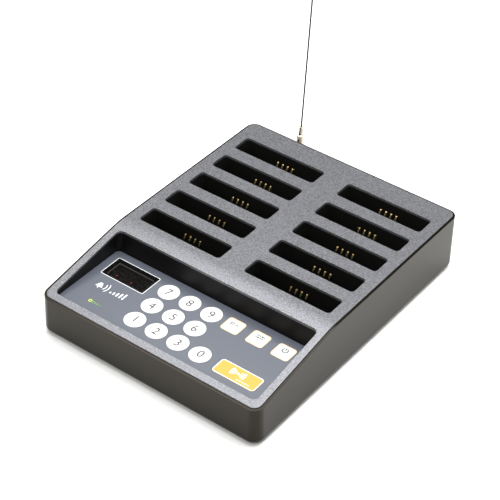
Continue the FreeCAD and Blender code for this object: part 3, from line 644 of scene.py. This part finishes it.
# ---- keys -------------------------------------------------------------------------------------
# Moulded keys in the film's cut-outs: ten white round ones with a grey figure, three pale blocks
# with an orange line and a plain sign, and one orange block with a white sign.
key_white = grain(start_material("white moulded ABS key", "e2e2e0", 0.45), 0.5, ("dfdfdd", "e5e5e3"),
                  (0.4, 0.5), 0.002)
key_cream = grain(start_material("cream moulded ABS key", "d8d6d1", 0.45), 0.5, ("d5d3ce", "dbd9d4"),
                  (0.4, 0.5), 0.002)
key_orange = grain(start_material("orange moulded ABS key", "dba63f", 0.42), 0.5, ("d8a33c", "dea942"),
                   (0.38, 0.46), 0.002)
ink_grey = grain(start_material("grey screen ink", "2b2d2f", 0.5), 0.4, ("292b2d", "2e3032"), (0.45, 0.55),
                 0.001)
ink_blue = grain(start_material("pale blue screen ink", "a9b8c6", 0.5), 0.4, ("a4b4c2", "afbecb"),
                 (0.45, 0.55), 0.001)
ink_orange = grain(start_material("pale orange screen ink", "f3c78c", 0.5), 0.4, ("f0c286", "f6cd95"),
                   (0.45, 0.55), 0.001)
FIGURE_H = 5.6
FIGURE_LIFT = {"key_1": 0.8, "key_0": 0.8}        # these two have a short note under the figure
NOTE_SHIFT = {"key_1": 0.3, "key_0": 1.6}
for node in ROUND_KEYS:
    softened(node, 0.12, key_white, "cap" + node[3:], segments=2)
    x, y, _, _ = key_cap(node)
    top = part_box(node)[1].z / MM
    text = bpy.data.curves.new("figure", "FONT")
    text.body = node[-1]
    text.align_x, text.align_y = "CENTER", "CENTER"
    text.size = 10.0
    text.extrude = INK / 2
    text.resolution_u = 6
    figure_mesh = closed_mesh(text, Matrix.Identity(4))
    lows, highs = ([pick(v.co[axis] for v in figure_mesh.verts) for axis in (0, 1)] for pick in (min, max))
    scale = FIGURE_H / (highs[1] - lows[1])
    lift = FIGURE_LIFT.get(node, 0.0)
    centre = Matrix.Translation((-(lows[0] + highs[0]) / 2, -(lows[1] + highs[1]) / 2, 0))
    place = Matrix.Translation((x, y + lift, top + INK / 2))
    figure_mesh.transform(Matrix.Diagonal((MM, MM, MM, 1)) @ place @
                          Matrix.Diagonal((scale, scale, 1, 1)) @ centre)
    figure = new_piece("figure_" + node[-1], figure_mesh, body_of(node), ink_grey)
    if lift:
        note_x = x + NOTE_SHIFT[node]
        printed("note_" + node[-1],
                [bar(note_x + n, y - 3.6, note_x + n + 0.55, y - 3.6, 0.7) for n in range(3)],
                top, ink_blue, node)

signs = {
    "key_mode": [bar(-3.2, 2.0, -0.2, 2.0, 0.55), bar(-3.2, 0.8, -0.9, 0.8, 0.55),
                 bar(0.6, 0.9, 1.9, 2.2, 0.5),
                 bar(1.95, 0.85, 3.0, 0.85, 0.5)],
    "key_setup": [bar(-3.0, 2.6, 0.4, 2.6, 0.5), circle(1.2, 2.6, 0.62, 20), bar(2.0, 2.6, 3.0, 2.6, 0.5),
                  bar(-3.0, 1.0, -1.7, 1.0, 0.5), circle(-0.9, 1.0, 0.62, 20),
                  bar(-0.1, 1.0, 3.0, 1.0, 0.5)],
    "key_power": [band(0, 1.5, 1.75, 0.6, 125, 415, 24), bar(0, 1.7, 0, 3.7, 0.6)],
}
for node in BLOCK_KEYS[:3]:
    softened(node, 0.12, key_cream, "cap" + node[3:], segments=2)
    x, y, half_w, half_d = key_cap(node)
    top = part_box(node)[1].z / MM
    edge_line = [cap_outline(node, grow) for grow in (-0.12, -0.6)]
    printed("line" + node[3:], edge_line, top, ink_orange, node)
    printed("sign" + node[3:], [[(x + px, y + py) for px, py in outline] for outline in signs[node]], top,
            ink_grey, node)
    note = [bar(x - 2.3 + 1.3 * n, y - 1.9, x - 1.35 + 1.3 * n, y - 1.9, 0.6) for n in range(4)]
    printed("note" + node[3:], note, top, ink_blue, node)

softened("key_send", 0.12, key_orange, "cap_send", segments=2)
x, y, half_w, half_d = key_cap("key_send")
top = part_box("key_send")[1].z / MM
printed("line_send", [cap_outline("key_send", grow) for grow in (-0.12, -0.7)], top, ink_white, "key_send")
send_sign = [circle(x - 0.5, y + 0.9, 0.85, 24)]
for ring in range(3):
    for turn in (0, 180):
        send_sign.append(band(x - 0.5, y + 0.9, 2.0 + 1.35 * ring, 0.7, turn - 42 + 4 * ring,
                              turn + 42 - 4 * ring))
for n in range(5):
    send_sign.append(bar(x + 1.2 + 1.9 * n, y - 3.4, x + 2.4 + 1.9 * n, y - 3.4, 0.75))
printed("sign_send", send_sign, top, ink_white, "key_send")

# ---- snap domes -------------------------------------------------------------------------------
# Pressed stainless steel discs under the keys, each with a small dimple at its middle.
def turned_copies(tree, points, copy):
    """Add copies at points to a tree, each one upside down where its point's attribute is 1."""
    turned = add(tree, "GeometryNodeInputNamedAttribute", {"Name": "turned"}, data_type="FLOAT")
    flip = add(tree, "ShaderNodeMath", {0: turned.outputs[0], 1: math.pi}, operation="MULTIPLY")
    tilt = add(tree, "ShaderNodeCombineXYZ", {"X": flip.outputs[0]})
    return add(tree, "GeometryNodeInstanceOnPoints", {
        "Points": points, "Instance": copy, "Rotation": tilt.outputs[0]}).outputs[0]


def lathe(name, profile, count=48):
    """A closed round solid about Z from (radius, height) points in mm, from bottom to top."""
    mesh = bmesh.new()
    rings = []
    for r, z in profile:
        if r < 1e-6:
            rings.append([mesh.verts.new((0, 0, z * MM))])
        else:
            rings.append([mesh.verts.new((x * MM, y * MM, z * MM)) for x, y in circle(0, 0, r, count)])
    for lower, upper in zip(rings, rings[1:]):
        for n in range(count):
            after = (n + 1) % count
            corners = [lower[n % len(lower)], lower[after % len(lower)], upper[after % len(upper)],
                       upper[n % len(upper)]]
            distinct = sorted(set(corners), key=corners.index)
            if len(distinct) > 2:
                mesh.faces.new(distinct)
    for ring in (rings[0], rings[-1]):
        if len(ring) > 1:
            mesh.faces.new(ring)
    bmesh.ops.recalc_face_normals(mesh, faces=mesh.faces)
    data = bpy.data.meshes.new(name)
    mesh.to_mesh(data)
    mesh.free()
    pattern = bpy.data.objects.new(name, data)
    bpy.context.scene.collection.objects.link(pattern)
    return pattern


def at_points(name, places, tree, values, material, node):
    """Copies that a tree makes at places (x, y, z, turned), in metres, standing for a CAD piece."""
    piece = line_piece(name, [place[:3] for place in places])
    attribute = piece.data.attributes.new("turned", "FLOAT", "POINT")
    attribute.data.foreach_set("value", [place[3] for place in places])
    run_tree(piece, tree, {**values, "Material": material})
    smooth(piece)
    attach(piece, body_of(node))
    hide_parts(node)
    paint(material, node)


def stamped(name, node, pattern, material):
    """Upright copies of one round pattern, one for each solid of a CAD piece."""
    places = [((low.x + high.x) / 2, (low.y + high.y) / 2, low.z, 0.0) for low, high in solids_of(node)]
    at_points(name, places, place_tree, {"Copy": pattern}, material, node)
    bpy.data.objects.remove(pattern)


place_tree, given = new_tree("copies at points", {"Copy": "Object", "Material": "Material"})
source = add(place_tree, "GeometryNodeObjectInfo", {"Object": given["Copy"]})
end_tree(place_tree, turned_copies(place_tree, given["Geometry"], source.outputs["Geometry"]),
         given["Material"])

spring_steel = grain(start_material("pressed stainless steel", "b9b9b6", 0.3, 1.0), 0.5,
                     ("b2b2af", "c2c2bf"), (0.25, 0.38), 0.002)
dome_profile = [(0, 0), (3.0, 0), (3.0, 0.06), (2.4, 0.2), (1.4, 0.38), (0.7, 0.44),
                (0.45, 0.36), (0, 0.34)]
stamped("snap_domes", "key_domes", lathe("dome", dome_profile, 32), spring_steel)

# ---- screws -----------------------------------------------------------------------------------
# Zinc-plated pan-head screws with a cross recess: six hold the base, eight hold the two boards.
screw_tree, given = new_tree("crosshead screws", {
    "Head Radius": "Float", "Head Height": "Float", "Shank Radius": "Float", "Shank Length": "Float",
    "Recess Length": "Float", "Recess Width": "Float", "Material": "Material"})
head = add(screw_tree, "GeometryNodeMeshCone", {"Vertices": 40, "Radius Top": given["Head Radius"],
                                                "Radius Bottom": given["Head Radius"],
                                                "Depth": given["Head Height"]})
cutters = add(screw_tree, "GeometryNodeJoinGeometry")
for order in (("Recess Length", "Recess Width"), ("Recess Width", "Recess Length")):
    size = add(screw_tree, "ShaderNodeCombineXYZ",
               {"X": given[order[0]], "Y": given[order[1]], "Z": given["Head Height"]})
    screw_tree.links.new(add(screw_tree, "GeometryNodeMeshCube", {"Size": size.outputs[0]}).outputs[0],
                         cutters.inputs[0])
recessed = add(screw_tree, "GeometryNodeMeshBoolean",
               {"Mesh 1": head.outputs[0], "Mesh 2": cutters.outputs[0]},
               operation="DIFFERENCE")
shank = add(screw_tree, "GeometryNodeMeshCylinder", {
    "Vertices": 28, "Radius": given["Shank Radius"], "Depth": given["Shank Length"]})
reach = add(screw_tree, "ShaderNodeMath", {0: given["Shank Length"], 1: 2.0}, operation="DIVIDE")
rise = add(screw_tree, "ShaderNodeMath", {0: reach.outputs[0], 1: given["Head Height"]}, operation="ADD")
lift_by = add(screw_tree, "ShaderNodeCombineXYZ", {"Z": rise.outputs[0]})
shank_up = add(screw_tree, "GeometryNodeTransform",
               {"Geometry": shank.outputs[0], "Translation": lift_by.outputs[0]})
one_screw = add(screw_tree, "GeometryNodeJoinGeometry")
for half in (recessed.outputs[0], shank_up.outputs[0]):
    screw_tree.links.new(half, one_screw.inputs[0])
end_tree(screw_tree, turned_copies(screw_tree, given["Geometry"], one_screw.outputs[0]), given["Material"])

zinc = grain(start_material("zinc-plated steel", "a9abad", 0.36, 1.0), 0.6, ("9fa1a4", "b6b8ba"),
             (0.3, 0.44), 0.004)
SCREWS = {"case_screws": (2.35, 2.0, 1.28), "board_screws": (1.85, 1.2, 0.88)}    # head, its height, shank
MAIN_BOARD_BELOW = 10       # board screws that start below this height go in from above
RECESS_LENGTH, RECESS_WIDTH = 1.1, 0.3            # of the head's radius
for node, (head_r, head_h, shank_r) in SCREWS.items():
    places = []
    for low, high in solids_of(node):
        head_up = node == "board_screws" and low.z / MM < MAIN_BOARD_BELOW
        head_z = high.z if head_up else low.z
        places.append(((low.x + high.x) / 2, (low.y + high.y) / 2, head_z, 1.0 if head_up else 0.0))
    length = (high.z - low.z) / MM - head_h
    at_points(node + "_row", places, screw_tree, {
        "Head Radius": head_r * MM, "Head Height": head_h * MM, "Shank Radius": shank_r * MM,
        "Shank Length": length * MM, "Recess Length": head_r * RECESS_LENGTH * MM,
        "Recess Width": head_r * RECESS_WIDTH * MM}, zinc, node)

# ---- feet -------------------------------------------------------------------------------------
# Four pressed rubber discs with a domed rim and two shallow rings, pushed into seats in the base.
rubber = grain(start_material("matt moulded rubber", "1c1c1b", 0.8), 0.5, ("1a1a19", "222221"),
               (0.75, 0.88), 0.01)
(foot_x0, foot_x1), _, (foot_z0, foot_z1) = in_mm(solids_of("feet")[0])
foot_r, foot_h = (foot_x1 - foot_x0) / 2, foot_z1 - foot_z0
foot_profile = [(0, 0.25), (1.2, 0.25), (1.5, 0), (2.6, 0), (2.9, 0.25), (3.6, 0.25), (3.9, 0),
                (foot_r - 0.6, 0),
                (foot_r - 0.2, 0.15), (foot_r - 0.02, 0.5), (foot_r - 0.02, foot_h), (0, foot_h)]
stamped("rubber_feet", "feet", lathe("foot", foot_profile), rubber)

# ---- parts on the boards ----------------------------------------------------------------------
# A shielded radio module, a power converter, a buzzer, a ribbon cable and the leads from the rear.
tinned = grain(start_material("tinned steel can", "b4b2ab", 0.35, 1.0), 0.7, ("aaa8a1", "bebcb5"),
               (0.28, 0.42), 0.004)
ferrite = grain(start_material("sintered ferrite", "2c2c2d", 0.6), 0.4, ("272728", "343435"), (0.5, 0.7),
                0.01)
black_resin = grain(start_material("moulded black epoxy", "161616", 0.5), 0.4, ("141414", "1b1b1b"),
                    (0.45, 0.58), 0.005)
ribbon_vinyl = grain(start_material("grey vinyl ribbon", "8d8e90", 0.5), 0.9, ("868789", "949597"),
                     (0.45, 0.55), 0.01)
sheath_black = grain(start_material("black vinyl sheath", "1a1a1a", 0.5), 0.6, ("181818", "1f1f1f"),
                     (0.45, 0.6), 0.004)
sheath_red = grain(start_material("red vinyl sheath", "9c1f18", 0.45), 0.6, ("941c16", "a6241c"),
                   (0.4, 0.52), 0.004)
for node, edge, material in (("radio_module", 0.3, tinned), ("charge_converter", 0.4, ferrite),
                             ("buzzer", 0.25, black_resin)):
    softened(node, edge, material)
paint(ribbon_vinyl, "ribbon_cable")
paint(sheath_black, "coax_lead")
paint(sheath_red, "power_leads")

# ---- aerial -----------------------------------------------------------------------------------
# Nickel-plated brass: a threaded bushing and its nut in the rear wall, an elbow that swivels on it
# and a fork that holds the whip by a pin. The whip is spring steel with a thin black coating.
nickel = grain(start_material("nickel-plated brass", "e9e0cc", 0.42, 0.35), 0.5, ("e2d8c2", "f0e8d6"),
               (0.25, 0.38), 0.003)
pin_steel = grain(start_material("plain ground steel", "9b9a97", 0.35, 1.0), 0.4, ("92918e", "a6a5a2"),
                  (0.3, 0.42), 0.003)
coated = grain(start_material("black coated spring steel", "161716", 0.45), 0.4, ("141514", "1a1b1a"),
               (0.4, 0.5), 0.003)
softened("antenna_jack", 0.2, nickel)
softened("jack_nut", 0.25, nickel)
softened("antenna_swivel", 0.2, nickel)
softened("antenna_pin", 0.1, pin_steel, segments=2)
whip = softened("antenna_whip", 0.12, coated, segments=2)
whip.data.materials.append(nickel)
pin_low, pin_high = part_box("antenna_pin")
hinge_z = (pin_low.z + pin_high.z) / 2
TONGUE_TOP, NECK_TOP = 2.6 * MM, 8.8 * MM      # above the hinge; a slit sleeve lies between them, its slit a painted dark strip
# Painted shade: below TONGUE_TOP the whip keeps its black coating, which also stands for the shade in the
# fork's slot. On the nickel sleeve, the faces that look along Y stay black, a painted shadow for the slit.
for polygon in whip.data.polygons:
    sleeve = hinge_z + TONGUE_TOP < polygon.center.z < hinge_z + NECK_TOP
    polygon.material_index = int(sleeve and abs(polygon.normal.y) < 0.9)

# ---- supply socket ----------------------------------------------------------------------------
# A black barrel socket, its mouth flush with the rear wall, with a nickel centre pin.
socket_black = grain(start_material("black moulded nylon", "141414", 0.42), 0.5, ("131313", "191919"),
                     (0.38, 0.48), 0.004)
inlet = softened("dc_inlet", 0.2, socket_black)
inlet.data.materials.append(nickel)
(inlet_x0, inlet_x1), _, (inlet_z0, inlet_z1) = in_mm(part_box("dc_inlet"))
axis_x, axis_z = (inlet_x0 + inlet_x1) / 2 * MM, (inlet_z0 + inlet_z1) / 2 * MM
PIN_REACH = 1.1 * MM
for polygon in inlet.data.polygons:
    corners = [inlet.data.vertices[index].co for index in polygon.vertices]
    if all(math.hypot(corner.x - axis_x, corner.z - axis_z) < PIN_REACH for corner in corners):
        polygon.material_index = 1
